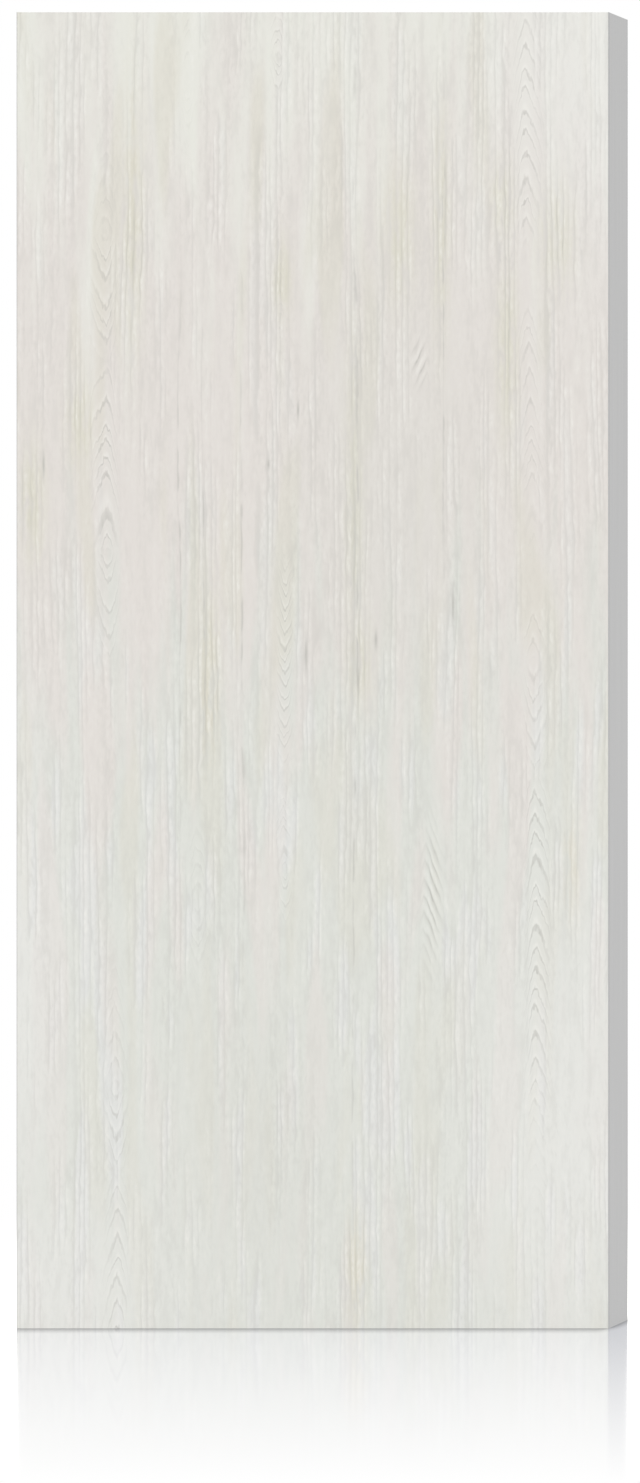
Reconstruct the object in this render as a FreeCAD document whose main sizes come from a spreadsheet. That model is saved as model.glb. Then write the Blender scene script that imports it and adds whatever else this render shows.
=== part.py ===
import FreeCAD
import Part
import Sketcher
import enum
import os

# Flush hollow core door leaf, 36 by 80 by 1 3/8 inches, as a bare slab with no hardware cut into it.
# Lengths are in millimetres. The origin is on the hinge edge, at its foot and in the middle of its
# thickness. +X runs across the leaf to the lock edge, -Y points out of the front face and +Z is up.

# Driving dimensions, each with its name in the sheet
DRIVING_SIZES = [
    # The finished leaf
    ("door_width", "914.4"),
    ("door_height", "2032"),
    ("door_thickness", "34.9"),
    # Faces: a decorative laminate sheet glued on a hardboard skin, alike on both sides
    ("laminate_thickness", "0.6"),
    ("skin_thickness", "3.2"),
    # Edge band on both upright edges, over the full thickness, with rounded outer arrises
    ("band_thickness", "1"),
    ("band_arris", "0.5"),
    # Softwood frame between the skins
    ("stile_width", "28.5"),
    ("top_rail_width", "28.5"),
    ("bottom_rail_width", "57"),
    # Blocks that carry a lock on either side, the height of their middle above the foot, and the room
    # between them and the core
    ("lock_block_width", "85"),
    ("lock_block_length", "500"),
    ("lock_height", "965"),
    ("lock_block_clearance", "0.5"),
    # Paper honeycomb, drawn out to fill the frame: its strips, the waves in a strip, and its paper
    ("strip_count_beside_lock", "2"),
    ("strip_count_between_locks", "16"),
    ("wave_count", "14"),
    ("paper_thickness", "0.4"),
]

# Sizes and places that follow from the driving dimensions, and from each other
DERIVED_SIZES = [
    ("face_width", "Sizes.door_width - 2 * Sizes.band_thickness"),
    ("front_face", "-Sizes.door_thickness / 2"),
    ("back_face", "Sizes.door_thickness / 2"),
    ("core_depth", "Sizes.door_thickness - 2 * (Sizes.laminate_thickness + Sizes.skin_thickness)"),
    ("core_front", "-core_depth / 2"),
    ("core_back", "core_depth / 2"),
    ("core_left", "Sizes.band_thickness + Sizes.stile_width"),
    ("core_right", "Sizes.door_width - core_left"),
    ("core_width", "core_right - core_left"),
    ("core_foot", "Sizes.bottom_rail_width"),
    ("core_top", "Sizes.door_height - Sizes.top_rail_width"),
    ("core_height", "core_top - core_foot"),
    ("lock_block_foot", "Sizes.lock_height - Sizes.lock_block_length / 2"),
    ("lock_block_top", "Sizes.lock_height + Sizes.lock_block_length / 2"),
    # The core in three zones: one beside each lock block, and one between them
    ("lock_zone_width", "Sizes.lock_block_width + Sizes.lock_block_clearance"),
    ("middle_zone_left", "core_left + lock_zone_width"),
    ("middle_zone_right", "core_right - lock_zone_width"),
    ("pitch_beside_lock", "lock_zone_width / Sizes.strip_count_beside_lock"),
    ("pitch_between_locks", "(middle_zone_right - middle_zone_left) / Sizes.strip_count_between_locks"),
    ("wave_length", "core_height / Sizes.wave_count"),
    ("room_below_lock", "lock_block_foot - Sizes.lock_block_clearance - core_foot"),
    ("room_above_lock", "core_top - lock_block_top - Sizes.lock_block_clearance"),
]

FULL_TURN = 360
HALF_TURN = 180
UPRIGHT = FreeCAD.Vector(0, 0, 1)


class Point(enum.IntEnum):
    """Which point of a sketch line a constraint holds."""

    START = 1
    END = 2


class Datum(enum.IntEnum):
    """What a sketch has before anything is drawn in it."""

    ORIGIN = -1


doc = FreeCAD.newDocument("flush_hollow_core_door")

sizes = doc.addObject("Spreadsheet::Sheet", "Sizes")
for row, (name, value) in enumerate(DRIVING_SIZES, start=1):
    sizes.set(f"A{row}", name)
    sizes.set(f"B{row}", value)
    sizes.setAlias(f"B{row}", name)
doc.recompute()

derived = doc.addObject("App::VarSet", "Derived")


def derive(expressions):
    """Adds named values to the derived sizes, each kept up to date by its expression."""
    for name, expression in expressions:
        derived.addProperty("App::PropertyFloat", name, "Derived")
        derived.setExpression(name, expression)
    doc.recompute()


def place(piece, x, y, z):
    """Ties a piece's position to three expressions."""
    for axis, expression in zip("xyz", (x, y, z)):
        piece.setExpression(f".Placement.Base.{axis}", expression)


def board(label, length, width, height, x, y, z):
    """A square-edged board or sheet, placed by its corner with the lowest x, y and z."""
    piece = doc.addObject("Part::Box", label)
    piece.setExpression("Length", length)
    piece.setExpression("Width", width)
    piece.setExpression("Height", height)
    place(piece, x, y, z)
    return piece


def sketch_on(body, plane_role, label):
    """A new sketch on one of a body's own origin planes."""
    sketch = body.newObject("Sketcher::SketchObject", label)
    plane = next(item for item in body.Origin.OriginFeatures if item.Role == plane_role)
    sketch.AttachmentSupport = [(plane, "")]
    sketch.MapMode = "FlatFace"
    return sketch


def draw_outline(sketch, corners):
    """A closed outline of straight lines through corners, each an (across, up) pair of expressions.

    It is drawn as a regular polygon, and its dimensions then pull every corner to its place.
    """
    next_corner = FreeCAD.Rotation(UPRIGHT, FULL_TURN / len(corners))
    points = [FreeCAD.Vector(1, 0, 0)]
    while len(points) < len(corners):
        points.append(next_corner.multVec(points[-1]))
    lines = [
        sketch.addGeometry(Part.LineSegment(start, end))
        for start, end in zip(points, points[1:] + points[:1])
    ]
    for line, next_line in zip(lines, lines[1:] + lines[:1]):
        sketch.addConstraint(Sketcher.Constraint("Coincident", line, Point.END, next_line, Point.START))
    for line, corner in zip(lines, corners):
        for kind, expression in zip(("DistanceX", "DistanceY"), corner):
            dimension = Sketcher.Constraint(kind, Datum.ORIGIN, Point.START, line, Point.START, 0)
            index = sketch.addConstraint(dimension)
            sketch.setExpression(f"Constraints[{index}]", expression)


def faces():
    """Both faces of the leaf, from front to back: laminate, skin, skin, laminate."""
    layers = [
        ("front_laminate", "Sizes.laminate_thickness", "Derived.front_face"),
        ("front_skin", "Sizes.skin_thickness", "Derived.core_front - Sizes.skin_thickness"),
        ("back_skin", "Sizes.skin_thickness", "Derived.core_back"),
        ("back_laminate", "Sizes.laminate_thickness", "Derived.back_face - Sizes.laminate_thickness"),
    ]
    return [
        board(label, "Derived.face_width", thickness, "Sizes.door_height", "Sizes.band_thickness", y, "0")
        for label, thickness, y in layers
    ]


def stile(label, x):
    """An upright of the frame, the full height of the leaf."""
    return board(
        label,
        length="Sizes.stile_width",
        width="Derived.core_depth",
        height="Sizes.door_height",
        x=x,
        y="Derived.core_front",
        z="0",
    )


def rail(label, width, z):
    """A cross piece of the frame, fitted between the stiles."""
    return board(
        label,
        length="Derived.core_width",
        width="Derived.core_depth",
        height=width,
        x="Derived.core_left",
        y="Derived.core_front",
        z=z,
    )


def lock_block(label, x):
    """A block beside a stile, for a lock to be cut into."""
    return board(
        label,
        length="Sizes.lock_block_width",
        width="Derived.core_depth",
        height="Sizes.lock_block_length",
        x=x,
        y="Derived.core_front",
        z="Derived.lock_block_foot",
    )


def frame():
    """The softwood frame. Both stiles have a lock block, so that the leaf can be hung either way."""
    return [
        stile("hinge_stile", "Sizes.band_thickness"),
        stile("lock_stile", "Derived.core_right"),
        rail("top_rail", "Sizes.top_rail_width", "Derived.core_top"),
        rail("bottom_rail", "Sizes.bottom_rail_width", "0"),
        lock_block("hinge_side_lock_block", "Derived.core_left"),
        lock_block("lock_side_lock_block", "Derived.core_right - Sizes.lock_block_width"),
    ]


def edge_band(label, x, turn):
    """An upright edge band with its inner face at x, turned so that its arrises face outwards."""
    body = doc.addObject("PartDesign::Body", label)
    section = sketch_on(body, "XY_Plane", f"{label}_section")
    draw_outline(
        section,
        [
            ("0", "Derived.front_face"),
            ("Sizes.band_thickness", "Derived.front_face"),
            ("Sizes.band_thickness", "Derived.back_face"),
            ("0", "Derived.back_face"),
        ],
    )
    strip = body.newObject("PartDesign::Pad", f"{label}_strip")
    strip.Profile = section
    strip.setExpression("Length", "Sizes.door_height")
    doc.recompute()

    # The arrises are the two upright edges of the outer face.
    arrises = [
        f"Edge{number}"
        for number, edge in enumerate(strip.Shape.Edges, start=1)
        if edge.BoundBox.XMin > sizes.band_thickness / 2 and edge.BoundBox.ZLength > sizes.door_height / 2
    ]
    rounding = body.newObject("PartDesign::Fillet", f"{label}_rounding")
    rounding.Base = (strip, arrises)
    rounding.setExpression("Radius", "Sizes.band_arris")

    body.Placement.Rotation = FreeCAD.Rotation(UPRIGHT, turn)
    place(body, x, "0", "0")
    return body


def edge_bands():
    """The bands on the two upright edges."""
    return [
        edge_band("hinge_edge_band", "Sizes.band_thickness", HALF_TURN),
        edge_band("lock_edge_band", "Sizes.door_width - Sizes.band_thickness", 0),
    ]


def wave_outline(pitch):
    """Corners of one wave of a paper strip, up its left side and then down its right side.

    A land on the left, in two halves, and one on the right are joined by slopes. The mitre keeps
    the paper as thick on the slopes as on the lands.
    """
    paper = "Sizes.paper_thickness"
    wave = "Derived.wave_length"
    swing = f"({pitch} - {paper})"
    slope = f"atan({swing} / ({wave} / 6))"
    mitre = f"{paper} / 2 * tan({slope} / 2)"
    left_side = [
        ("0", "0"),
        ("0", f"{wave} / 6 + {mitre}"),
        (swing, f"{wave} / 3 + {mitre}"),
        (swing, f"{wave} * 2 / 3 - {mitre}"),
        ("0", f"{wave} * 5 / 6 - {mitre}"),
        ("0", wave),
    ]
    right_side = [
        (paper, wave),
        (paper, f"{wave} * 5 / 6 + {mitre}"),
        (pitch, f"{wave} * 2 / 3 + {mitre}"),
        (pitch, f"{wave} / 3 - {mitre}"),
        (paper, f"{wave} / 6 - {mitre}"),
        (paper, "0"),
    ]
    return left_side + right_side


def core_strip(label, pitch, wave_count, x, z, turn):
    """One paper strip of the honeycomb: a wave as deep as the core, repeated upwards."""
    body = doc.addObject("PartDesign::Body", label)
    outline = sketch_on(body, "XZ_Plane", f"{label}_outline")
    draw_outline(outline, wave_outline(pitch))
    wave = body.newObject("PartDesign::Pad", f"{label}_wave")
    wave.Profile = outline
    wave.SideType = "Symmetric"
    wave.setExpression("Length", "Derived.core_depth")
    doc.recompute()

    repeat = body.newObject("PartDesign::LinearPattern", f"{label}_waves")
    repeat.Originals = [wave]
    repeat.Direction = (outline, ["V_Axis"])
    repeat.Mode = "Spacing"
    repeat.setExpression("Offset", "Derived.wave_length")
    repeat.setExpression("Occurrences", wave_count)
    body.Tip = repeat

    body.Placement.Rotation = FreeCAD.Rotation(UPRIGHT, turn)
    place(body, x, "0", z)
    return body


def strip_places():
    """For each strip, from the hinge stile to the lock stile: its pitch, its x and its turn.

    Every other strip is turned round, so that its lands meet its neighbours' lands.
    """
    zones = [
        ("Derived.core_left", "Derived.pitch_beside_lock", sizes.strip_count_beside_lock),
        ("Derived.middle_zone_left", "Derived.pitch_between_locks", sizes.strip_count_between_locks),
        ("Derived.middle_zone_right", "Derived.pitch_beside_lock", sizes.strip_count_beside_lock),
    ]
    places = []
    for zone_left, pitch, strip_count in zones:
        for index in range(round(strip_count)):
            turned = len(places) % 2 == 1
            pitches_from_left = index + 1 if turned else index
            x = f"{zone_left} + {pitch} * {pitches_from_left}"
            places.append((pitch, x, HALF_TURN if turned else 0))
    return places


def honeycomb():
    """The core: paper strips side by side, with whole waves from rail to rail.

    A strip beside a lock block stops whole waves short of it, and goes on above it.
    """
    foot = "Derived.core_foot"
    waves_below = "floor(Derived.room_below_lock / Derived.wave_length)"
    waves_above = "floor(Derived.room_above_lock / Derived.wave_length)"
    upper_foot = f"Derived.core_top - Derived.wave_length * {waves_above}"

    strips = []
    for number, (pitch, x, turn) in enumerate(strip_places(), start=1):
        label = f"core_strip_{number:02d}"
        if pitch == "Derived.pitch_beside_lock":
            strips.append(core_strip(label, pitch, waves_below, x, foot, turn))
            strips.append(core_strip(f"{label}_above_lock", pitch, waves_above, x, upper_foot, turn))
        else:
            strips.append(core_strip(label, pitch, "Sizes.wave_count", x, foot, turn))
    return strips


def stop_if_faulty(pieces):
    """Raises an error if an object of the document failed, or a piece isn't one sound solid."""
    failed = [item.Label for item in doc.Objects if {"Invalid", "Error"} & set(item.State)]
    unsound = [
        piece.Label
        for piece in pieces
        if piece.Shape.isNull() or not piece.Shape.isValid() or len(piece.Shape.Solids) != 1
    ]
    if failed or unsound:
        raise RuntimeError(f"failed objects: {failed}, unsound pieces: {unsound}")


def write_steps(pieces):
    """Writes each piece to its own file in parts, named by its label."""
    os.makedirs("parts", exist_ok=True)
    for piece in pieces:
        piece.Shape.exportStep(os.path.join("parts", f"{piece.Label}.step"))


derive(DERIVED_SIZES)
pieces = faces() + frame() + edge_bands() + honeycomb()
doc.recompute()
stop_if_faulty(pieces)
write_steps(pieces)
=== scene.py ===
"""Looks of the flush hollow core door: whitewashed woodgrain faces, plain bands and bare timber ends."""

from __future__ import annotations

import logging
import math
from dataclasses import dataclass
from enum import Enum, IntEnum
from functools import partial, reduce
from typing import Iterable, Sequence, Union

import bmesh
import bpy
from mathutils import Matrix, Vector

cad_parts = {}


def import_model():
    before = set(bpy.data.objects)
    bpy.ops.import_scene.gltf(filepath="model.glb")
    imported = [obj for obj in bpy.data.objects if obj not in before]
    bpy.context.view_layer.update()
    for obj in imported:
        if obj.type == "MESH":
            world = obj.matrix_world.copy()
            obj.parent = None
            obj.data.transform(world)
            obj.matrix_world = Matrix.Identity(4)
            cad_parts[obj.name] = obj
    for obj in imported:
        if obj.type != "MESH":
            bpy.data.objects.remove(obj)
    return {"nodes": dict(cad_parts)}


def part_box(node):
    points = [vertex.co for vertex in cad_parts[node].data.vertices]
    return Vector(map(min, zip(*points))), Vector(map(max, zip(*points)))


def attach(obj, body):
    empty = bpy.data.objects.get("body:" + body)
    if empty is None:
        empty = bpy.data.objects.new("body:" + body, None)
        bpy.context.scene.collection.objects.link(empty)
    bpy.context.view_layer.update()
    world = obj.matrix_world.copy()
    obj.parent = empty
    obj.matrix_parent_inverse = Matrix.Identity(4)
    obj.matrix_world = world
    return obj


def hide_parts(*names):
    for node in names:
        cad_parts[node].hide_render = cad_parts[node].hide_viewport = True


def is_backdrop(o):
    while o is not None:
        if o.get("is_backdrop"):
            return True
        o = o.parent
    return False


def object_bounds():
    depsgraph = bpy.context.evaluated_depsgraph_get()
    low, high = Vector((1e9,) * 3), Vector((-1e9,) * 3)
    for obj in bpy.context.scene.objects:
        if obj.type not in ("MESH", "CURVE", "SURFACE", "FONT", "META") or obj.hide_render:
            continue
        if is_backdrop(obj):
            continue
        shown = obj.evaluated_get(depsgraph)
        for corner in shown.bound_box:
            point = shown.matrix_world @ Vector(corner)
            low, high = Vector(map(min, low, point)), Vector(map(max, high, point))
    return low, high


LOG = logging.getLogger("door")
BODY = "root"
WHITE = (1.0, 1.0, 1.0, 1.0)
BLACK = (0.0, 0.0, 0.0, 1.0)
# Middle of a noise or a curve that runs from 0 to 1
MIDDLE = 0.5

Colour = tuple[float, float, float, float]
Tree = bpy.types.NodeTree
Socket = bpy.types.NodeSocket
Source = Union[Socket, float, Sequence[float]]


class GrainRun(Enum):
    """The way that the grain of a softwood piece runs."""

    UP = "up"
    ACROSS = "across"


class SheetLay(Enum):
    """Which way up a laminate sheet was laid on the leaf."""

    UPRIGHT = "upright"
    TURNED = "turned"


@dataclass(frozen=True)
class LeafSize:
    """Outer sizes of the leaf in metres, with its hinge edge on x = 0 and its foot on z = 0."""

    width: float
    thickness: float
    height: float


@dataclass(frozen=True)
class Span:
    """A mapping of the values from low to high onto results from start to end."""

    low: float
    high: float
    start: float = 0.0
    end: float = 1.0


class MixSocket(IntEnum):
    """Places of the Mix node's colour sockets, which share their names with its other sockets."""

    SHARE = 0
    FIRST = 6
    SECOND = 7
    RESULT = 2


class Graph:
    """A shader node tree, with short calls for the nodes that the finishes share."""

    def __init__(self, tree: Tree) -> None:
        """Keeps the tree of a material, a world or a node group, which the calls add to."""
        self.tree = tree

    def add(self, kind: str, **settings: object) -> bpy.types.Node:
        """Adds one node.

        Args:
            kind: The node's type name.
            **settings: Properties to set on the node.

        Returns:
            The new node.
        """
        node = self.tree.nodes.new(kind)
        for name, value in settings.items():
            setattr(node, name, value)
        return node

    def feed(self, target: Socket, source: Source) -> None:
        """Links a socket to its target, or sets a constant on it.

        Args:
            target: The input socket.
            source: An output socket, or a plain value.
        """
        if isinstance(source, Socket):
            self.tree.links.new(source, target)
        else:
            target.default_value = source

    def run(self, kind: str, *values: Source, **settings: object) -> bpy.types.NodeOutputs:
        """Adds one node and feeds its inputs in order.

        Args:
            kind: The node's type name.
            *values: What goes into its first inputs.
            **settings: Properties to set on the node.

        Returns:
            The node's outputs.
        """
        node = self.add(kind, **settings)
        for socket, value in zip(node.inputs, values):
            self.feed(socket, value)
        return node.outputs

    def math(self, operation: str, *values: Source) -> Socket:
        """Works out one operation on some values."""
        return self.run("ShaderNodeMath", *values, operation=operation)[0]

    def vector_math(self, operation: str, *values: Source) -> bpy.types.NodeOutputs:
        """Works out one operation on some vectors."""
        return self.run("ShaderNodeVectorMath", *values, operation=operation)

    def fold(self, operation: str, values: Sequence[Source]) -> Socket:
        """Joins two or more values with one operation."""
        return reduce(partial(self.math, operation), values)

    def product(self, *values: Source) -> Socket:
        """Multiplies several values."""
        return self.fold("MULTIPLY", values)

    def centred(self, value: Source) -> Socket:
        """Moves a value whose middle is one half, so that its middle is zero."""
        return self.math("SUBTRACT", value, MIDDLE)

    def sway(self, value: Source, reach: float) -> Socket:
        """Spreads a value from 0 to 1 over the reach, evenly about zero."""
        return self.math("MULTIPLY_ADD", value, reach, -reach / 2)

    def falling(self, squares: Source) -> Socket:
        """Turns squared distances into a mask that is 1 at the centre and soft at the rim."""
        return self.math("EXPONENT", self.product(squares, -1.0))

    def mapped(self, manner: str, value: Source, span: Span) -> Socket:
        """Maps a value along a span, and holds it at the ends."""
        ends = (span.low, span.high, span.start, span.end)
        return self.run("ShaderNodeMapRange", value, *ends, interpolation_type=manner)[0]

    def ease(self, value: Source, span: Span) -> Socket:
        """Maps a value along a span, slowly near the ends."""
        return self.mapped("SMOOTHSTEP", value, span)

    def ramp(self, value: Source, span: Span) -> Socket:
        """Maps a value along a span, evenly."""
        return self.mapped("LINEAR", value, span)

    def curve(self, value: Source, points: Sequence[tuple[float, float]]) -> Socket:
        """Maps a value from 0 to 1 along a smooth curve.

        Args:
            value: The value to map.
            points: Places and heights on the curve, from 0 to 1, in order.

        Returns:
            The curve's height.
        """
        node = self.add("ShaderNodeFloatCurve")
        line = node.mapping.curves[0]
        line.points[0].location = points[0]
        line.points[1].location = points[-1]
        for place, height in points[1:-1]:
            line.points.new(place, height)
        node.mapping.update()
        self.feed(node.inputs["Value"], value)
        return node.outputs[0]

    def mix(self, share: Source, first: Source, second: Source) -> Socket:
        """Mixes two colours.

        Args:
            share: How much of the second colour shows, from 0 to 1.
            first: The first colour.
            second: The second colour.

        Returns:
            The mixed colour.
        """
        node = self.add("ShaderNodeMix", data_type="RGBA")
        self.feed(node.inputs[MixSocket.SHARE], share)
        self.feed(node.inputs[MixSocket.FIRST], first)
        self.feed(node.inputs[MixSocket.SECOND], second)
        return node.outputs[MixSocket.RESULT]

    def parts(self, vector: Source) -> list[Socket]:
        """Splits a vector into its X, Y and Z."""
        return list(self.run("ShaderNodeSeparateXYZ", vector))

    def vector(self, x: Source, y: Source, z: Source) -> Socket:
        """Joins three values into a vector."""
        return self.run("ShaderNodeCombineXYZ", x, y, z)[0]

    def place(self, group: Tree, **values: Source) -> bpy.types.NodeOutputs:
        """Places a node group.

        Args:
            group: The group.
            **values: What goes into its inputs, by their names.

        Returns:
            The group's outputs.
        """
        node = self.add("ShaderNodeGroup", node_tree=group)
        for name, value in values.items():
            self.feed(node.inputs[name], value)
        return node.outputs


@dataclass(frozen=True)
class Surface:
    """How a finish meets the light.

    The roughness follows the marks on the piece. The bump is how high a relief of 1 stands, in metres, and
    the strength is how much of it shows.
    """

    roughness: Span
    bump: float
    strength: float
    sheen: float = 0.5


class MaterialGraph(Graph):
    """The graph of a new material with one Principled BSDF."""

    def __init__(self, name: str) -> None:
        """Makes the material, with the place on the piece in metres.

        Args:
            name: The material's name.
        """
        self.material = bpy.data.materials.new(name)
        self.material.use_nodes = True
        super().__init__(self.material.node_tree)
        self.here = self.add("ShaderNodeTexCoord").outputs["Object"]

    def depth_under_face(self, size: LeafSize) -> Socket:
        """Measures how deep a place lies under the nearer face of the leaf."""
        through = self.math("ABSOLUTE", self.parts(self.here)[1])
        return self.math("SUBTRACT", size.thickness / 2, through)

    def finish(self, surface: Surface, colour: Source, marks: Source, height: Source) -> bpy.types.Material:
        """Feeds a finish into the shader.

        Args:
            surface: How it meets the light.
            colour: Its colour.
            marks: What the roughness follows, from 0 to 1.
            height: The relief that only the light shows, from 0 to 1.

        Returns:
            The material.
        """
        bump = self.add("ShaderNodeBump")
        bump.inputs["Distance"].default_value = surface.bump
        bump.inputs["Strength"].default_value = surface.strength
        self.feed(bump.inputs["Height"], height)
        shader = self.tree.nodes["Principled BSDF"].inputs
        self.feed(shader["Base Color"], colour)
        self.feed(shader["Roughness"], self.ease(marks, surface.roughness))
        self.feed(shader["Normal"], bump.outputs[0])
        shader["Specular IOR Level"].default_value = surface.sheen
        return self.material


class GroupMaker:
    """Builds a shader node group with named inputs and outputs."""

    def __init__(self, name: str, inputs: dict[str, str], outputs: dict[str, str]) -> None:
        """Makes an empty group.

        Args:
            name: The group's name.
            inputs: The type of each input socket, by name.
            outputs: The type of each output socket, by name.
        """
        self.tree = bpy.data.node_groups.new(name, "ShaderNodeTree")
        for way, sockets in (("INPUT", inputs), ("OUTPUT", outputs)):
            for label, kind in sockets.items():
                self.tree.interface.new_socket(name=label, in_out=way, socket_type=kind)
        self.graph = Graph(self.tree)
        self.given = self.graph.add("NodeGroupInput").outputs
        self.result = self.graph.add("NodeGroupOutput").inputs


VALUE = "NodeSocketFloat"
VECTOR = "NodeSocketVector"
COLOUR = "NodeSocketColor"

# Tone along one growth ring: a sharp line, a softer wave and the late wood
RING_LINE = ((0.0, 0.5), (0.24, 0.56), (0.4, 0.08), (0.5, 0.3), (0.62, 0.92), (0.8, 0.62), (1.0, 0.5))
RING_WAVE = ((0.0, 0.5), (0.2, 0.3), (0.32, 0.05), (0.46, 0.4), (0.62, 0.8), (0.75, 0.9), (1.0, 0.5))
RING_LATE = ((0.0, 0.1), (0.45, 0.25), (0.8, 0.95), (0.9, 0.8), (1.0, 0.1))
# Changes of spacing in each ring
RING_DRIFT = 0.37


class SharedEffects:
    """The node groups that several finishes use, each built once."""

    def __init__(self) -> None:
        """Builds the groups."""
        self.streaks = self.build_streaks()
        self.rings = self.build_rings()
        self.oval = self.build_oval()

    def build_streaks(self) -> Tree:
        """Makes noise that is drawn out along Z, for fibres, flecks and drifts of tone.

        Returns:
            The group.
        """
        maker = GroupMaker(
            "grain_streaks",
            {"Place": VECTOR, "Width": VALUE, "Length": VALUE, "Seed": VALUE, "Detail": VALUE},
            {"Value": VALUE},
        )
        graph = maker.graph
        x, y, z = graph.parts(maker.given["Place"])
        across = graph.math("DIVIDE", x, maker.given["Width"])
        through = graph.math("DIVIDE", y, maker.given["Width"])
        seeded = graph.math("ADD", through, maker.given["Seed"])
        along = graph.math("DIVIDE", z, maker.given["Length"])
        noise = graph.add("ShaderNodeTexNoise")
        noise.inputs["Scale"].default_value = 1.0
        graph.feed(noise.inputs["Vector"], graph.vector(across, seeded, along))
        graph.feed(noise.inputs["Detail"], maker.given["Detail"])
        graph.feed(maker.result["Value"], noise.outputs[0])
        return maker.tree

    def build_rings(self) -> Tree:
        """Makes growth rings out of a radius: each a dark late line with a pale ridge beside it.

        Returns:
            The group, whose Line and Wave are about one half between the lines; Wave is the softer.
        """
        profiles = {"Line": RING_LINE, "Wave": RING_WAVE, "Late": RING_LATE}
        maker = GroupMaker(
            "growth_rings",
            {"Radius": VALUE, "Spacing": VALUE, "Uneven": VALUE},
            {label: VALUE for label in profiles},
        )
        graph = maker.graph
        count = graph.math("DIVIDE", maker.given["Radius"], maker.given["Spacing"])
        slow = graph.add("ShaderNodeTexNoise", noise_dimensions="1D")
        slow.inputs["Scale"].default_value = RING_DRIFT
        slow.inputs["Detail"].default_value = 1.0
        graph.feed(slow.inputs["W"], count)
        swing = graph.product(slow.outputs[0], maker.given["Uneven"])
        phase = graph.math("FRACT", graph.math("ADD", count, swing))
        for label, points in profiles.items():
            graph.feed(maker.result[label], graph.curve(phase, points))
        return maker.tree

    def build_oval(self) -> Tree:
        """Measures how far a place is from an upright oval, for a stain or a fleck that has its own place.

        Returns:
            The group, whose Squares is 0 at the oval's centre and 1 on its rim.
        """
        maker = GroupMaker(
            "placed_oval", {"Place": VECTOR, "Centre": VECTOR, "Reach": VECTOR}, {"Squares": VALUE}
        )
        graph = maker.graph
        aside = graph.vector_math("SUBTRACT", maker.given["Place"], maker.given["Centre"])["Vector"]
        share = graph.vector_math("DIVIDE", aside, maker.given["Reach"])["Vector"]
        squares = graph.vector_math("DOT_PRODUCT", share, share)["Value"]
        graph.feed(maker.result["Squares"], squares)
        return maker.tree


@dataclass(frozen=True)
class Leaf:
    """The loaded leaf: its nodes, its outer size and the node groups that its finishes share."""

    nodes: dict[str, bpy.types.Object]
    size: LeafSize
    effects: SharedEffects

    def dress(self, names: Iterable[str], material: bpy.types.Material) -> None:
        """Puts a material in every slot of some nodes.

        Args:
            names: The nodes' names.
            material: Their new material.
        """
        for name in names:
            for slot in self.nodes[name].material_slots:
                slot.material = material
            LOG.info("%s: %s", name, material.name)


@dataclass(frozen=True)
class Streaks:
    """Noise drawn out along Z: the size of a streak in metres, a seed, and how many finer noises it has."""

    width: float
    length: float
    seed: float
    detail: float

    def lay(self, graph: Graph, effects: SharedEffects, place: Source) -> Socket:
        """Adds the streaks to a graph, as noise from 0 to 1."""
        values = {"Width": self.width, "Length": self.length, "Seed": self.seed, "Detail": self.detail}
        return graph.place(effects.streaks, Place=place, **values)["Value"]


@dataclass(frozen=True)
class Heart:
    """One column of small arches in the woodgrain.

    The figure gives the arches' strength up the sheet: over one half they point up, under it they point
    down, and one half is plain.
    """

    across: float
    boldness: float
    fineness: float
    figure: tuple[tuple[float, float], ...]


@dataclass(frozen=True)
class Patch:
    """One stain, fleck or group of lines: its centre on the sheet and its half sizes, in metres."""

    across: float
    up: float
    half_width: float
    half_length: float


HEARTS = (
    Heart(
        across=0.156,
        boldness=1.0,
        fineness=1.0,
        figure=(
            (0.0, 0.9), (0.09, 0.8), (0.12, 0.5), (0.16, 0.1), (0.2, 0.7), (0.3, 0.52), (0.48, 0.55),
            (0.53, 0.25), (0.58, 0.2), (0.6, 0.9), (0.69, 0.95), (0.73, 0.6), (0.78, 0.15), (0.82, 0.15),
            (0.84, 0.62), (0.92, 0.53), (1.0, 0.5),
        ),
    ),
    Heart(
        across=0.287,
        boldness=0.45,
        fineness=1.3,
        figure=(
            (0.0, 0.5), (0.24, 0.5), (0.3, 0.15), (0.35, 0.85), (0.4, 0.5), (0.88, 0.5), (0.93, 0.2),
            (0.97, 0.8), (1.0, 0.5),
        ),
    ),
    Heart(
        across=0.4225,
        boldness=1.0,
        fineness=1.7,
        figure=(
            (0.0, 0.5), (0.3, 0.5), (0.335, 0.2), (0.36, 0.75), (0.42, 0.5), (0.47, 0.1), (0.55, 0.05),
            (0.6, 0.5), (0.93, 0.5), (0.955, 0.2), (0.975, 0.8), (1.0, 0.5),
        ),
    ),
    Heart(
        across=0.812,
        boldness=1.0,
        fineness=1.0,
        figure=(
            (0.0, 0.55), (0.12, 0.6), (0.24, 0.95), (0.38, 1.0), (0.42, 0.5), (0.45, 0.2), (0.49, 0.2),
            (0.53, 0.8), (0.56, 0.5), (0.63, 0.7), (0.75, 0.8), (0.8, 0.5), (0.85, 0.85), (0.96, 0.9),
            (1.0, 0.6),
        ),
    ),
)

FEATHERS = (
    Patch(0.6445, 0.67, 0.0125, 0.09),
    Patch(0.6215, 1.4935, 0.009, 0.03),
)

DARK_LINES = (
    Patch(0.5215, 1.05, 0.0016, 1.0),
    Patch(0.348, 1.1, 0.0016, 0.5),
    Patch(0.659, 1.5, 0.0015, 0.4),
    Patch(0.251, 1.2, 0.0014, 0.4),
    Patch(0.288, 1.2, 0.0014, 0.3),
)

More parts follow.
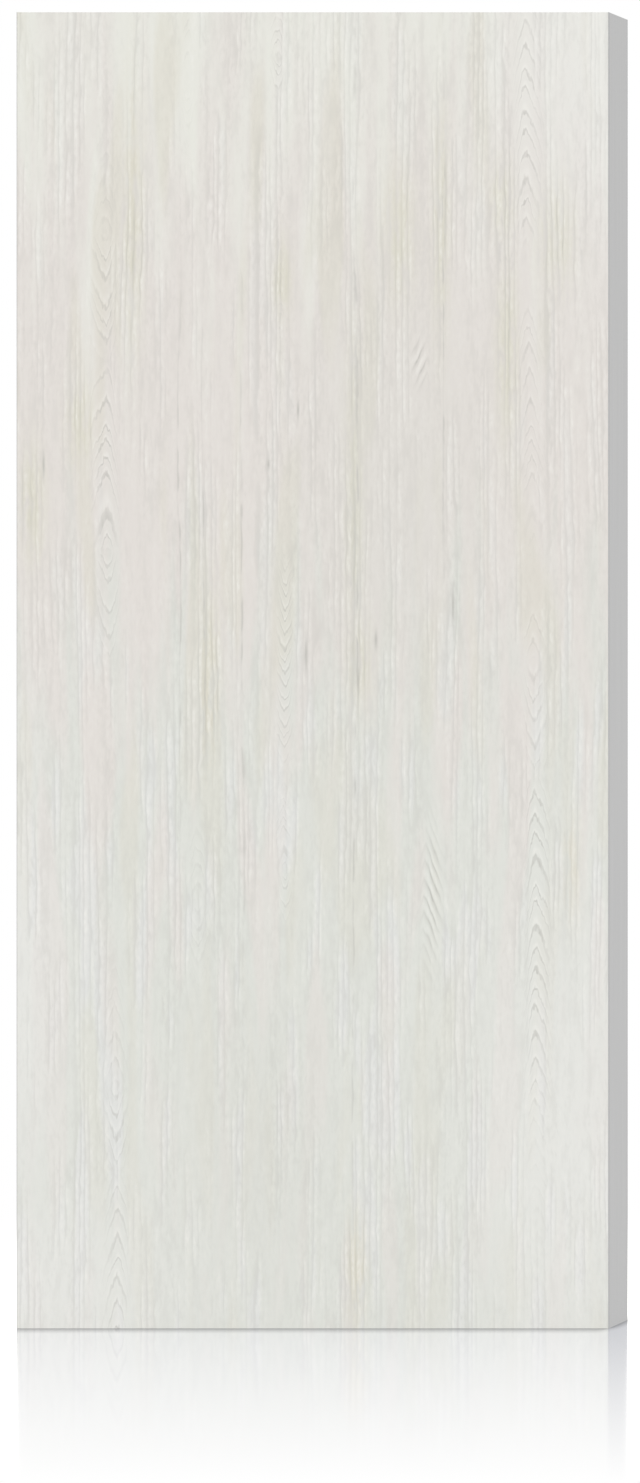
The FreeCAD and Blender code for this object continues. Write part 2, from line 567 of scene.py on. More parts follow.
STRAW_STAINS = (
    Patch(0.522, 1.3, 0.015, 0.24),
    Patch(0.53, 1.03, 0.02, 0.07),
    Patch(0.758, 1.51, 0.017, 0.14),
    Patch(0.655, 1.7, 0.014, 0.17),
    Patch(0.59, 1.69, 0.025, 0.1),
    Patch(0.75, 1.74, 0.02, 0.06),
    Patch(0.835, 1.69, 0.03, 0.08),
    Patch(0.18, 1.72, 0.016, 0.2),
    Patch(0.1, 1.4, 0.022, 0.08),
    Patch(0.025, 1.27, 0.02, 0.09),
    Patch(0.297, 1.0, 0.018, 0.17),
    Patch(0.41, 1.62, 0.015, 0.06),
    Patch(0.857, 0.71, 0.014, 0.08),
    Patch(0.525, 0.09, 0.016, 0.09),
)

CHALK_PATCHES = (
    Patch(0.92, 1.97, 0.17, 0.32),
    Patch(0.0, 0.55, 0.07, 0.4),
    Patch(0.86, 0.3, 0.14, 0.4),
    Patch(0.03, 0.05, 0.2, 0.16),
)

DAMP_PATCHES = (
    Patch(0.36, 0.28, 0.11, 0.22),
    Patch(0.58, 1.25, 0.14, 0.35),
)

DARK_FLECKS = (
    Patch(0.447, 1.04, 0.0024, 0.026),
    Patch(0.389, 1.334, 0.0022, 0.008),
    Patch(0.435, 1.418, 0.0018, 0.013),
    Patch(0.527, 1.003, 0.002, 0.02),
    Patch(0.555, 1.063, 0.0024, 0.014),
    Patch(0.674, 1.117, 0.002, 0.026),
    Patch(0.042, 1.333, 0.002, 0.02),
)


@dataclass(frozen=True)
class Grain:
    """What the steps of the woodgrain share: the graph, the groups, the place and the streaks laid there."""

    graph: Graph
    effects: SharedEffects
    place: Source
    fibres: Source
    hair: Source
    band: Source
    ragged: Source

    def lines(self, radius: Source, spacing: float, drift: float, kind: str) -> Socket:
        """Draws lines like growth rings, with their relief about zero."""
        rings = self.graph.place(self.effects.rings, Radius=radius, Spacing=spacing, Uneven=drift)
        return self.graph.centred(rings[kind])

    def mask(self, patches: Sequence[Patch], place: Source) -> Socket:
        """Joins several placed patches, each soft at its rim.

        Args:
            patches: Where they are.
            place: The place on the sheet, bent with the lines or plain.

        Returns:
            Their mask.
        """
        squares = []
        for patch in patches:
            centre = (patch.across, 0.0, patch.up)
            reach = (patch.half_width, 1.0, patch.half_length)
            oval = self.graph.place(self.effects.oval, Place=place, Centre=centre, Reach=reach)
            squares.append(oval["Squares"])
        return self.graph.falling(self.graph.fold("MINIMUM", squares))


@dataclass(frozen=True)
class WhitewashedLaminate:
    """Matt laminate printed and brushed as whitewashed wood: straight lines and columns of small arches."""

    fresh: Colour = (0.718, 0.73, 0.68, 1.0)
    blush: Colour = (0.749, 0.711, 0.672, 1.0)
    mist: Colour = (0.735, 0.74, 0.722, 1.0)
    ivory: Colour = (0.782, 0.782, 0.722, 1.0)
    straw: Colour = (0.7, 0.676, 0.58, 1.0)
    chalk: Colour = (0.82, 0.81, 0.785, 1.0)
    damp: Colour = (0.675, 0.672, 0.622, 1.0)
    line: Colour = (0.46, 0.452, 0.418, 1.0)
    # Pale colour on the raised lines: partly the print's pale grain, partly a painted highlight on the
    # embossing
    ridge_highlight: Colour = (0.92, 0.91, 0.864, 1.0)

    # Streaks
    fibres: Streaks = Streaks(0.0044, 0.012, 5.9, 1.0)
    hair: Streaks = Streaks(0.009, 0.042, 9.2, 1.0)
    band: Streaks = Streaks(0.03, 0.22, 1.3, 1.0)
    ragged: Streaks = Streaks(0.032, 0.45, 2.4, 2.0)
    sweep: Streaks = Streaks(0.6, 0.9, 3.1, 0.0)
    tint: Streaks = Streaks(0.048, 0.4, 8.8, 1.0)

    # How far the lines bend, in metres
    sweep_reach: float = 0.02
    waver_reach: float = 0.006
    stray_reach: float = 0.02

    # Straight lines, brushed hair and fibres
    line_spacing: float = 0.0098
    line_drift: float = 1.2
    lines_in_bands: Span = Span(0.44, 0.6, 0.02, 0.3)
    lines_in_stains: float = 0.22
    line_dashes: Span = Span(0.3, 0.7, 0.3, 1.7)
    hair_in_bands: Span = Span(0.36, 0.6, 0.26, 0.46)
    hair_dashes: Span = Span(0.3, 0.7, 0.5, 1.5)
    fibres_in_bands: Span = Span(0.36, 0.62, 0.2, 0.44)
    ragged_share: float = 0.27
    hollows: Span = Span(MIDDLE, 0.0, 0.0, 0.74)
    # Share of the pale colour on the raised lines, partly a painted highlight
    ridge_highlights: Span = Span(MIDDLE, 1.0, 0.0, 0.44)
    thread_dashes: Span = Span(0.36, 0.6, 0.5, 0.1)
    fleck_share: float = 0.7

    # Columns of arches, and the feathers
    arch_spacing: float = 0.034
    arch_drift: float = 1.5
    arch_width: float = 0.014
    arch_depth: float = 0.85
    arch_roughness: float = 0.016
    arch_breaks: Span = Span(0.3, 0.7, 0.6, 1.3)
    apex_radius: float = 0.0012
    column_width: float = 0.045
    column_lean: float = 0.011
    leg_slope: float = 1.6
    leg_bend: float = 90.0
    feather_fold: float = 0.632
    feather_slope: float = 2.3
    feather_spacing: float = 0.026
    feather_drift: float = 1.2

    # Drift of the wash between its tones
    level_reach: float = 1.3
    blush_levels: Span = Span(0.75, 1.3)
    ivory_levels: Span = Span(1.45, 2.15)
    mist_bands: Span = Span(0.52, 0.66)
    mist_heights: Span = Span(1.3, 0.7, 0.2, 0.8)
    flush_tints: Span = Span(0.5, 0.64)
    flush_rise: Span = Span(0.3, 1.1, 0.5, 1.0)
    flush_fall: Span = Span(1.95, 1.6, 0.4, 1.0)
    straw_tints: Span = Span(0.46, 0.32)
    straw_heights: Span = Span(0.5, 1.2, 0.3, 0.5)
    stain_streaks: Span = Span(0.3, 0.6, 0.3, 1.2)
    damp_share: float = 0.4
    chalk_share: float = 0.55

    surface: Surface = Surface(Span(0.2, 0.8, 0.62, 0.52), 0.0001, 0.4, 0.35)

    def figure(self, leaf: Leaf) -> Tree:
        """Builds the woodgrain group for a sheet of the leaf's size.

        Args:
            leaf: The loaded leaf.

        Returns:
            The group, which puts out a colour, a relief and the brushed fibres.
        """
        maker = GroupMaker(
            "whitewashed_figure", {"Place": VECTOR}, {"Colour": COLOUR, "Relief": VALUE, "Fibres": VALUE}
        )
        graph = maker.graph
        place = maker.given["Place"]
        kinds = (self.fibres, self.hair, self.band, self.ragged)
        streaks = (kind.lay(graph, leaf.effects, place) for kind in kinds)
        grain = Grain(graph, leaf.effects, place, *streaks)
        across = self.swayed(grain)
        bent = graph.vector(across, 0.0, graph.parts(place)[2])
        stains = grain.mask(STRAW_STAINS, place)
        arches, arch_share = self.arches(grain, bent, leaf.size)
        calm = graph.math("SUBTRACT", 1.0, arch_share)
        drawn = graph.math("MULTIPLY_ADD", self.straight(grain, across, stains), calm, arches)
        relief = graph.math("ADD", drawn, MIDDLE)
        graph.feed(maker.result["Colour"], self.colour(grain, bent, relief, stains))
        graph.feed(maker.result["Relief"], relief)
        graph.feed(maker.result["Fibres"], grain.fibres)
        return maker.tree

    def swayed(self, grain: Grain) -> Socket:
        """Bends the lines of the grain a little.

        Args:
            grain: What the steps share.

        Returns:
            The place across the sheet, bent.
        """
        graph = grain.graph
        x = graph.parts(grain.place)[0]
        sweep = self.sweep.lay(graph, grain.effects, grain.place)
        bend = graph.sway(sweep, self.sweep_reach)
        waver = graph.sway(grain.hair, self.waver_reach)
        stray = graph.sway(grain.ragged, self.stray_reach)
        return graph.fold("ADD", (x, bend, waver, stray))

    def straight(self, grain: Grain, across: Source, stains: Source) -> Socket:
        """Draws the straight lines, which come in bands, and the brushed hair and fibres.

        Args:
            grain: What the steps share.
            across: The place across the sheet, bent.
            stains: Where the straw stains are.

        Returns:
            Their relief about zero.
        """
        graph = grain.graph
        lines = grain.lines(across, self.line_spacing, self.line_drift, "Wave")
        banded = graph.ease(grain.band, self.lines_in_bands)
        shown = graph.math("MULTIPLY_ADD", stains, self.lines_in_stains, banded)
        drawn = graph.product(lines, shown, graph.ramp(grain.hair, self.line_dashes))
        brush = graph.ramp(grain.band, self.hair_in_bands)
        combed = graph.math("MULTIPLY_ADD", graph.centred(grain.hair), brush, drawn)
        dashed = graph.product(combed, graph.ramp(grain.fibres, self.hair_dashes))
        coarse = graph.ramp(grain.band, self.fibres_in_bands)
        grained = graph.math("MULTIPLY_ADD", graph.centred(grain.fibres), coarse, dashed)
        return graph.math("MULTIPLY_ADD", graph.centred(grain.ragged), self.ragged_share, grained)

    def arches(self, grain: Grain, bent: Source, size: LeafSize) -> tuple[Socket, Socket]:
        """Draws the columns of arches, and the feathers that lean like half an arch.

        Args:
            grain: What the steps share.
            bent: The place on the sheet, bent with the lines.
            size: The leaf's size.

        Returns:
            The arches' relief about zero, and how much of the plain lines they cover.
        """
        graph = grain.graph
        across, _, z = graph.parts(bent)
        height = graph.math("DIVIDE", z, size.height)
        upright = graph.math("MULTIPLY_ADD", z, self.column_lean, across)
        sides = []
        leans = []
        fineness = 1.0
        for heart in HEARTS:
            gap = graph.math("SUBTRACT", upright, heart.across)
            off = graph.math("SQRT", graph.math("MULTIPLY_ADD", gap, gap, self.apex_radius**2))
            inside = graph.math("LESS_THAN", off, self.column_width)
            fineness = graph.math("MULTIPLY_ADD", inside, heart.fineness - 1.0, fineness)
            sides.append(graph.product(off, heart.fineness))
            figure = graph.centred(graph.curve(height, heart.figure))
            leans.append(graph.product(figure, inside, heart.boldness / MIDDLE))
        nearest = graph.fold("MINIMUM", sides)
        lean = graph.fold("ADD", leans)
        slope = graph.product(nearest, self.leg_slope)
        legs = graph.math("MULTIPLY_ADD", graph.product(nearest, nearest), self.leg_bend, slope)
        rise = graph.product(z, fineness)
        rough = graph.math("MULTIPLY_ADD", grain.fibres, self.arch_roughness, rise)
        along = graph.math("MULTIPLY_ADD", graph.math("SIGN", lean), legs, rough)
        lines = grain.lines(along, self.arch_spacing, self.arch_drift, "Line")
        share = graph.math("DIVIDE", nearest, self.arch_width)
        column = graph.falling(graph.product(share, share))
        strength = graph.product(graph.math("ABSOLUTE", lean), column, self.arch_depth)
        from_fold = graph.math("ABSOLUTE", graph.math("SUBTRACT", across, self.feather_fold))
        slanted = graph.math("MULTIPLY_ADD", from_fold, self.feather_slope, z)
        barbs = grain.lines(slanted, self.feather_spacing, self.feather_drift, "Wave")
        feather = grain.mask(FEATHERS, bent)
        arched = graph.product(lines, strength)
        drawn = graph.math("MULTIPLY_ADD", barbs, feather, arched)
        broken = graph.ramp(grain.fibres, self.arch_breaks)
        return graph.product(drawn, broken), graph.math("MAXIMUM", strength, feather)

    def tone(self, grain: Grain, stains: Source) -> Socket:
        """Makes the drift of the wash between its tones.

        Args:
            grain: What the steps share.
            stains: Where the straw stains are.

        Returns:
            The colour between the lines.
        """
        graph = grain.graph
        z = graph.parts(grain.place)[2]
        level = graph.math("ADD", z, graph.sway(grain.ragged, self.level_reach))
        washed = graph.mix(graph.ease(level, self.blush_levels), self.fresh, self.blush)
        topped = graph.mix(graph.ease(level, self.ivory_levels), washed, self.ivory)
        mist = graph.product(graph.ease(grain.band, self.mist_bands), graph.ease(z, self.mist_heights))
        misty = graph.mix(mist, topped, self.mist)
        tint = self.tint.lay(graph, grain.effects, grain.place)
        midway = graph.product(graph.ease(z, self.flush_rise), graph.ease(z, self.flush_fall))
        flush = graph.product(graph.ease(tint, self.flush_tints), midway)
        flushed = graph.mix(flush, misty, self.blush)
        scattered = graph.product(graph.ease(tint, self.straw_tints), graph.ease(z, self.straw_heights))
        streaky = graph.product(stains, graph.ramp(grain.hair, self.stain_streaks))
        stained = graph.mix(graph.math("MAXIMUM", streaky, scattered), flushed, self.straw)
        damp = graph.product(grain.mask(DAMP_PATCHES, grain.place), self.damp_share)
        damped = graph.mix(damp, stained, self.damp)
        chalk = graph.product(grain.mask(CHALK_PATCHES, grain.place), self.chalk_share)
        return graph.mix(chalk, damped, self.chalk)

    def colour(self, grain: Grain, bent: Source, relief: Source, stains: Source) -> Socket:
        """Colours the lines, the dark threads and the flecks over the wash, with a pale colour on the raised
        lines that is partly pale grain and partly a painted highlight on the embossing.

        Args:
            grain: What the steps share.
            bent: The place on the sheet, bent with the lines.
            relief: The height of the lines.
            stains: Where the straw stains are.

        Returns:
            The colour.
        """
        graph = grain.graph
        hollow = graph.mix(graph.ramp(relief, self.hollows), self.tone(grain, stains), self.line)
        # The raised lines get a pale colour, partly pale grain and partly a painted highlight
        lined_highlit = graph.mix(graph.ramp(relief, self.ridge_highlights), hollow, self.ridge_highlight)
        dashes = graph.ease(grain.hair, self.thread_dashes)
        threads = graph.product(grain.mask(DARK_LINES, bent), dashes)
        flecks = graph.product(grain.mask(DARK_FLECKS, grain.place), self.fleck_share)
        return graph.mix(graph.math("MAXIMUM", threads, flecks), lined_highlit, self.line)

    def material(self, figure: Tree, size: LeafSize, lay: SheetLay) -> bpy.types.Material:
        """Makes the laminate of one face.

        Args:
            figure: The woodgrain group.
            size: The leaf's size.
            lay: Which way up the sheet was laid.

        Returns:
            The material.
        """
        graph = MaterialGraph(f"whitewashed_laminate_{lay.value}")
        place = graph.here
        if lay is SheetLay.TURNED:
            turn = graph.add("ShaderNodeMapping")
            turn.inputs["Rotation"].default_value = (0.0, math.pi, 0.0)
            turn.inputs["Location"].default_value = (size.width, 0.0, size.height)
            graph.feed(turn.inputs["Vector"], place)
            place = turn.outputs[0]
        outputs = graph.place(figure, Place=place)
        return graph.finish(self.surface, outputs["Colour"], outputs["Relief"], outputs["Fibres"])


@dataclass(frozen=True)
class EdgeBandPlastic:
    """Plain grey edging, extruded lengthwise, with painted shade darkening it along both arrises."""

    ground: Colour = (0.632, 0.632, 0.629, 1.0)
    shade: Colour = (0.608, 0.608, 0.606, 1.0)
    # Painted shade along the arrises, where the band meets the faces
    arris_shade: Colour = (0.41, 0.41, 0.405, 1.0)
    lines: Streaks = Streaks(0.0009, 0.4, 2.2, 2.0)
    pebble: Streaks = Streaks(0.0011, 0.0013, 6.1, 2.0)
    line_tones: Span = Span(0.35, 0.65)
    # How much painted shade darkens the band near each face, by depth under the face
    arris_shading: Span = Span(0.0022, 0.00055, 0.0, 0.45)
    surface: Surface = Surface(Span(0.3, 0.7, 0.46, 0.56), 0.00006, 0.35, 0.35)

    def material(self, leaf: Leaf) -> bpy.types.Material:
        """Makes the edging.

        Args:
            leaf: The loaded leaf.

        Returns:
            The material.
        """
        graph = MaterialGraph("edge_band_plastic")
        lines = self.lines.lay(graph, leaf.effects, graph.here)
        pebble = self.pebble.lay(graph, leaf.effects, graph.here)
        ground = graph.mix(graph.ease(lines, self.line_tones), self.shade, self.ground)
        # Painted shade: darker towards each arris, within a few millimetres of the faces
        arris_shading = graph.ease(graph.depth_under_face(leaf.size), self.arris_shading)
        return graph.finish(self.surface, graph.mix(arris_shading, ground, self.arris_shade), pebble, pebble)


@dataclass(frozen=True)
class Hardboard:
    """Pressed brown fibreboard, dense and darker near its faces."""

    fibre: Colour = (0.31, 0.19, 0.1, 1.0)
    pale_fibre: Colour = (0.44, 0.29, 0.165, 1.0)
    dense: Colour = (0.2, 0.115, 0.06, 1.0)
    fibres: Streaks = Streaks(0.0016, 0.0016, 1.7, 4.0)
    clumps: Streaks = Streaks(0.011, 0.011, 4.1, 2.0)
    fibre_tones: Span = Span(0.35, 0.68)
    crust: Span = Span(0.0016, 0.0007, 0.0, 0.75)
    crust_clumps: Span = Span(0.3, 0.7, 0.55, 1.0)
    surface: Surface = Surface(Span(0.3, 0.7, 0.72, 0.88), 0.0002, 0.5)

    def material(self, leaf: Leaf) -> bpy.types.Material:
        """Makes the board.

        Args:
            leaf: The loaded leaf.

        Returns:
            The material.
        """
        graph = MaterialGraph("hardboard")
        fibres = self.fibres.lay(graph, leaf.effects, graph.here)
        clumps = self.clumps.lay(graph, leaf.effects, graph.here)
        mixed = graph.mix(graph.ease(fibres, self.fibre_tones), self.fibre, self.pale_fibre)
        crust = graph.ease(graph.depth_under_face(leaf.size), self.crust)
        crust_share = graph.product(crust, graph.ease(clumps, self.crust_clumps))
        return graph.finish(self.surface, graph.mix(crust_share, mixed, self.dense), fibres, fibres)


@dataclass(frozen=True)
class Softwood:
    """Bare sawn pine: rings on the ends, long grain on the sides, faint saw marks."""

    early: Colour = (0.72, 0.54, 0.33, 1.0)
    late: Colour = (0.47, 0.29, 0.14, 1.0)
    aged: Colour = (0.6, 0.45, 0.28, 1.0)
    wander: Streaks = Streaks(0.03, 0.4, 3.3, 1.0)
    fibres: Streaks = Streaks(0.0007, 0.03, 8.4, 3.0)
    grime: Streaks = Streaks(0.02, 0.12, 5.2, 3.0)
    saw: Streaks = Streaks(0.05, 0.0018, 7.1, 1.0)
    wander_reach: float = 0.012
    ring_spacing: float = 0.0034
    ring_drift: float = 1.6
    heart_across: float = 0.022
    heart_through: float = 0.03
    late_share: float = 0.85
    grime_tones: Span = Span(0.42, 0.75, 0.0, 0.55)
    fibre_tones: Span = Span(0.5, 0.75, 0.0, 0.35)
    saw_share: float = 0.6
    fibre_share: float = 0.4
    surface: Surface = Surface(Span(0.3, 0.7, 0.66, 0.82), 0.00025, 0.4)

    def material(self, leaf: Leaf, run: GrainRun) -> bpy.types.Material:
        """Makes the timber of the pieces whose grain runs one way.

        Args:
            leaf: The loaded leaf.
            run: The way that the grain runs.

        Returns:
            The material.
        """
        graph = MaterialGraph(f"softwood_{run.value}")
        x, y, z = graph.parts(graph.here)
        sides = {GrainRun.UP: (x, z, leaf.size.width), GrainRun.ACROSS: (z, x, leaf.size.height)}
        side, along, span = sides[run]
        mirrored = graph.math("ABSOLUTE", graph.math("SUBTRACT", side, span / 2))
        inward = graph.math("SUBTRACT", span / 2, mirrored)
        place = graph.vector(inward, y, along)
        kinds = (self.wander, self.fibres, self.grime, self.saw)
        wander, fibres, grime, saw = (kind.lay(graph, leaf.effects, place) for kind in kinds)
        shift = graph.sway(wander, self.wander_reach)
        from_heart = graph.math("ADD", graph.math("SUBTRACT", inward, self.heart_across), shift)
        through = graph.math("SUBTRACT", y, self.heart_through)
        squares = graph.math("ADD", graph.product(from_heart, from_heart), graph.product(through, through))
        radius = graph.math("SQRT", squares)
        values = {"Radius": radius, "Spacing": self.ring_spacing, "Uneven": self.ring_drift}
        rings = graph.place(leaf.effects.rings, **values)["Late"]
        timber = graph.mix(graph.product(rings, self.late_share), self.early, self.late)
        aged = graph.mix(graph.ease(grime, self.grime_tones), timber, self.aged)
        furred = graph.mix(graph.ease(fibres, self.fibre_tones), aged, self.late)
        sawn = graph.product(saw, self.saw_share)
        marks = graph.math("ADD", sawn, graph.product(fibres, self.fibre_share))
        return graph.finish(self.surface, furred, marks, marks)


@dataclass(frozen=True)
class KraftPaper:
    """Brown core paper with loose fibres."""

    ground: Colour = (0.5, 0.355, 0.215, 1.0)
    fibre: Colour = (0.63, 0.48, 0.32, 1.0)
    fibres: Streaks = Streaks(0.0012, 0.006, 2.9, 3.0)
    clouds: Streaks = Streaks(0.02, 0.02, 6.6, 2.0)
    fibre_tones: Span = Span(0.4, 0.7)
    cloud_tones: Span = Span(0.3, 0.7, 0.4, 1.0)
    surface: Surface = Surface(Span(0.3, 0.7, 0.84, 0.94), 0.0001, 0.4)

    def material(self, leaf: Leaf) -> bpy.types.Material:
        """Makes the paper.

        Args:
            leaf: The loaded leaf.

        Returns:
            The material.
        """
        graph = MaterialGraph("kraft_paper")
        fibres = self.fibres.lay(graph, leaf.effects, graph.here)
        clouds = self.clouds.lay(graph, leaf.effects, graph.here)
        loose = graph.ease(fibres, self.fibre_tones)
        share = graph.product(loose, graph.ease(clouds, self.cloud_tones))
        return graph.finish(self.surface, graph.mix(share, self.ground, self.fibre), clouds, fibres)


@dataclass(frozen=True)
class FaceSheet:
    """One laminate sheet on a face of the leaf, with its outer edges eased."""

    name: str
    node: str
    outward: float
    arris: float = 0.0003
    arris_steps: int = 3

    def build(self) -> bpy.types.Object:
        """Builds the sheet where its node is.

        Returns:
            The sheet's object.
        """
        low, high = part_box(self.node)
        shape = bmesh.new()
        bmesh.ops.create_cube(shape, size=1.0)
        bmesh.ops.scale(shape, vec=high - low, verts=shape.verts)
        middle = (low + high) / 2
        bmesh.ops.translate(shape, vec=middle, verts=shape.verts)
        outer = [
            edge
            for edge in shape.edges
            if all((vert.co.y - middle.y) * self.outward > 0 for vert in edge.verts)
        ]
        bmesh.ops.bevel(
            shape,
            geom=outer,
            offset=self.arris,
            affect="EDGES",
            segments=self.arris_steps,
            profile=0.5,
            material=-1,
        )
        mesh = bpy.data.meshes.new(self.name)
        shape.to_mesh(mesh)
        shape.free()
        sheet = bpy.data.objects.new(self.name, mesh)
        bpy.context.scene.collection.objects.link(sheet)
        return sheet

    def dress(self, sheet: bpy.types.Object, material: bpy.types.Material) -> None:
        """Gives the sheet its finish and puts it in its node's place.

        Args:
            sheet: The sheet's object.
            material: Its material.
        """
        sheet.data.materials.append(material)
        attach(sheet, BODY)
        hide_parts(self.node)
        LOG.info("%s: %s", sheet.name, material.name)


@dataclass(frozen=True)
class Faces:
    """The two laminate sheets and the hardboard skins under them."""

    front: FaceSheet = FaceSheet("front_face_sheet", "front_laminate", -1.0)
    back: FaceSheet = FaceSheet("back_face_sheet", "back_laminate", 1.0)
    skins: tuple[str, ...] = ("front_skin", "back_skin")

    def build(self, leaf: Leaf) -> None:
        """Builds the sheets and dresses the skins.

        Args:
            leaf: The loaded leaf.
        """
        laminate = WhitewashedLaminate()
        figure = laminate.figure(leaf)
        for sheet, lay in ((self.front, SheetLay.UPRIGHT), (self.back, SheetLay.TURNED)):
            sheet.dress(sheet.build(), laminate.material(figure, leaf.size, lay))
        leaf.dress(self.skins, Hardboard().material(leaf))


@dataclass(frozen=True)
class TimberFrame:
    """The softwood stiles, rails and lock blocks."""

    uprights: tuple[str, ...] = ("hinge_stile", "lock_stile", "hinge_side_lock_block", "lock_side_lock_block")
    rails: tuple[str, ...] = ("top_rail", "bottom_rail")

    def dress(self, leaf: Leaf) -> None:
        """Dresses the timber.

        Args:
            leaf: The loaded leaf.
        """
        softwood = Softwood()
        for names, run in ((self.uprights, GrainRun.UP), (self.rails, GrainRun.ACROSS)):
            leaf.dress(names, softwood.material(leaf, run))


@dataclass(frozen=True)
class EdgeBands:
    """The plain bands on the two upright edges."""

    names: tuple[str, ...] = ("hinge_edge_band", "lock_edge_band")

    def dress(self, leaf: Leaf) -> None:
        """Dresses the bands of the loaded leaf."""
        leaf.dress(self.names, EdgeBandPlastic().material(leaf))


@dataclass(frozen=True)
class PaperCore:
    """The strips of the honeycomb core."""

    prefix: str = "core_strip"

    def dress(self, leaf: Leaf) -> None:
        """Dresses the strips of the loaded leaf."""
        strips = [name for name in sorted(leaf.nodes) if name.startswith(self.prefix)]
        leaf.dress(strips, KraftPaper().material(leaf))


@dataclass(frozen=True)
class Studio:
    """A white floor that mirrors the foot of the leaf, an even white surround and two soft lamps."""

    floor_span: float = 60.0
    polish: float = 0.78
    polish_reach: float = 0.5
    side_fade: float = 0.8
    polish_roughness: float = 0.08
    polish_tint: Colour = (1.0, 0.98, 0.91, 1.0)
    contact_reach: float = 0.022
    contact_samples: int = 8
    surround: float = 0.8
    lamp_power: float = 0.82
    lamp_angle: float = math.radians(50.0)
    lamp_low: float = math.radians(62.0)
    lamp_turns: tuple[float, ...] = (math.radians(-36.0), math.radians(-144.0))

    def build(self, size: LeafSize) -> None:
        """Builds the floor, the surround and the lamps.

        Args:
            size: The leaf's size.
        """
        self.lay_floor(size)
        self.light_surround()
        for number, turn in enumerate(self.lamp_turns, start=1):
            self.hang_lamp(f"soft_lamp_{number}", turn)

    def lay_floor(self, size: LeafSize) -> None:
        """Lays the floor, which lets the even surround light the foot of the leaf.

        Args:
            size: The leaf's size.
        """
        shape = bmesh.new()
        bmesh.ops.create_grid(shape, x_segments=1, y_segments=1, size=self.floor_span / 2)
        mesh = bpy.data.meshes.new("floor")
        shape.to_mesh(mesh)
        shape.free()
        mesh.materials.append(self.floor_material(size))
        floor = bpy.data.objects.new("floor", mesh)
        floor.visible_diffuse = False
        floor.visible_shadow = False
        bpy.context.scene.collection.objects.link(floor)
        floor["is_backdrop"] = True
        LOG.info("floor laid")

    def floor_material(self, size: LeafSize) -> bpy.types.Material:
        """Makes the floor's white, its polish round the leaf and the contact shadow.

        The polish tints what it mirrors, and the floor's own white makes up for that, so that the bare
        floor is plain white.

        Args:
            size: The leaf's size.

        Returns:
            The material.
        """
        graph = MaterialGraph("polished_white_floor")
        graph.tree.nodes.remove(graph.tree.nodes["Principled BSDF"])
        x, y, _ = graph.parts(graph.here)
        aside = graph.math("ABSOLUTE", graph.math("SUBTRACT", x, size.width / 2))
        beside = graph.math("SUBTRACT", aside, size.width / 2)
        before = graph.math("SUBTRACT", graph.math("ABSOLUTE", y), size.thickness / 2)
        away = graph.math("MAXIMUM", before, graph.product(beside, self.side_fade))
        polish = graph.ramp(away, Span(0.0, self.polish_reach, self.polish, 0.0))
        ratio = graph.math("DIVIDE", polish, graph.math("SUBTRACT", 1.0, polish))
        taken = [1.0 - part for part in self.polish_tint[:3]]
        evened = graph.vector_math("MULTIPLY_ADD", ratio, taken, WHITE[:3])["Vector"]
        contact = graph.add("ShaderNodeAmbientOcclusion", samples=self.contact_samples)
        contact.inputs["Distance"].default_value = self.contact_reach
        graph.feed(contact.inputs["Color"], evened)
        white = graph.add("ShaderNodeEmission")
        graph.feed(white.inputs["Color"], contact.outputs["Color"])
        mirror = graph.add("ShaderNodeBsdfGlossy")
        mirror.inputs["Roughness"].default_value = self.polish_roughness
        graph.feed(mirror.inputs["Color"], graph.mix(contact.outputs["AO"], BLACK, self.polish_tint))
        shown = graph.run("ShaderNodeMixShader", polish, white.outputs[0], mirror.outputs[0])[0]
        graph.feed(graph.tree.nodes["Material Output"].inputs["Surface"], shown)
        return graph.material

    def light_surround(self) -> None:
        """Makes the world light evenly and show as white."""
        world = bpy.data.worlds.new("white_surround")
        world.use_nodes = True
        graph = Graph(world.node_tree)
        background = world.node_tree.nodes["Background"]
        rays = graph.add("ShaderNodeLightPath").outputs
        kinds = ("Is Camera Ray", "Is Glossy Ray", "Is Transmission Ray")
        seen = graph.fold("MAXIMUM", [rays[kind] for kind in kinds])
        grey = (self.surround, self.surround, self.surround, 1.0)
        graph.feed(background.inputs["Color"], graph.mix(seen, grey, WHITE))
        bpy.context.scene.world = world
        LOG.info("surround lit")

    def hang_lamp(self, name: str, turn: float) -> None:
        """Hangs one wide soft lamp.

        Args:
            name: The lamp's name.
            turn: Which way it stands, turned about the upright axis from the front.
        """
        light = bpy.data.lights.new(name, "SUN")
        light.energy = self.lamp_power
        light.angle = self.lamp_angle
        lamp = bpy.data.objects.new(name, light)
        lamp.rotation_euler = (self.lamp_low, 0.0, turn)
        bpy.context.scene.collection.objects.link(lamp)
        LOG.info("%s hung", name)


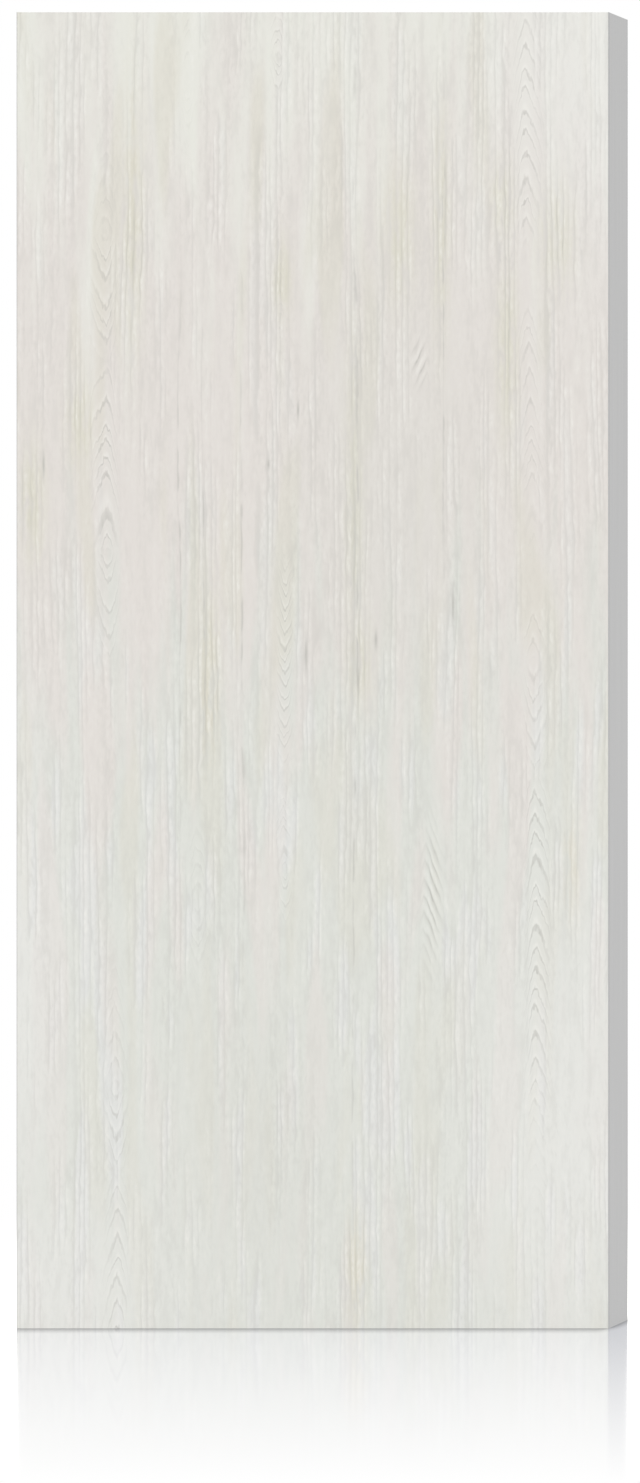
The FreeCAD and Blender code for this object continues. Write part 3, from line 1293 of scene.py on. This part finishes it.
@dataclass(frozen=True)
class PhotoCamera:
    """The photograph's oblique view: the face is square to the picture, and one edge shows beside it.

    The sizes are pixels of a 640 by 1483 picture. The eye stands far to the right of the face, so a plain
    lens shift would be wider than the picture. The camera hangs on a sheared rig instead, and has no shift.
    """

    picture_width: float = 640.0
    picture_height: float = 1483.0
    face_left: float = 16.4
    face_width: float = 593.2
    face_foot: float = 1328.5
    face_height: float = 1315.5
    eye_across: float = 2137.0
    eye_down: float = 634.5
    eye_distance: float = 2.76
    sensor: float = 36.0

    def build(self, size: LeafSize) -> None:
        """Makes the camera and its rig.

        Args:
            size: The leaf's size.
        """
        pixel = (size.width + size.height) / (self.face_width + self.face_height)
        face = -size.thickness / 2
        eye = self.on_face(self.eye_across, self.eye_down, pixel, face)
        eye.y -= self.eye_distance
        middle = self.on_face(self.picture_width / 2, self.picture_height / 2, pixel, face)
        reach = (middle - eye).length
        ahead = (middle - eye) / reach
        shear = Matrix(
            (
                (1.0, 0.0, -ahead.x, eye.x),
                (0.0, 0.0, -ahead.y, eye.y),
                (0.0, 1.0, -ahead.z, eye.z),
                (0.0, 0.0, 0.0, 1.0),
            )
        )
        lens = bpy.data.cameras.new("photo_camera")
        lens.sensor_width = self.sensor
        lens.lens = self.sensor * reach / (self.picture_height * pixel)
        camera = bpy.data.objects.new("photo_camera", lens)
        rig = bpy.data.objects.new("camera_rig", None)
        for item in (rig, camera):
            bpy.context.scene.collection.objects.link(item)
        camera.parent = rig
        camera.matrix_parent_inverse = shear
        bpy.context.scene.camera = camera
        LOG.info("camera stands at %s", [round(part, 3) for part in eye])

    def on_face(self, across: float, down: float, pixel: float, face: float) -> Vector:
        """Finds the point of the front face's plane that shows at a column and row of pixels."""
        return Vector(((across - self.face_left) * pixel, face, (self.face_foot - down) * pixel))


def main() -> None:
    """Loads the leaf, builds and dresses each sub-assembly, and sets the studio round it."""
    logging.basicConfig(level=logging.INFO, format="%(message)s")
    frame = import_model()
    cad_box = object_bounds()
    extent = cad_box[1] - cad_box[0]
    size = LeafSize(extent.x, extent.y, extent.z)
    leaf = Leaf(frame["nodes"], size, SharedEffects())
    Faces().build(leaf)
    EdgeBands().dress(leaf)
    TimberFrame().dress(leaf)
    PaperCore().dress(leaf)
    Studio().build(size)
    PhotoCamera().build(size)
    bpy.context.scene.view_settings.view_transform = "Standard"


if __name__ == "__main__":
    main()
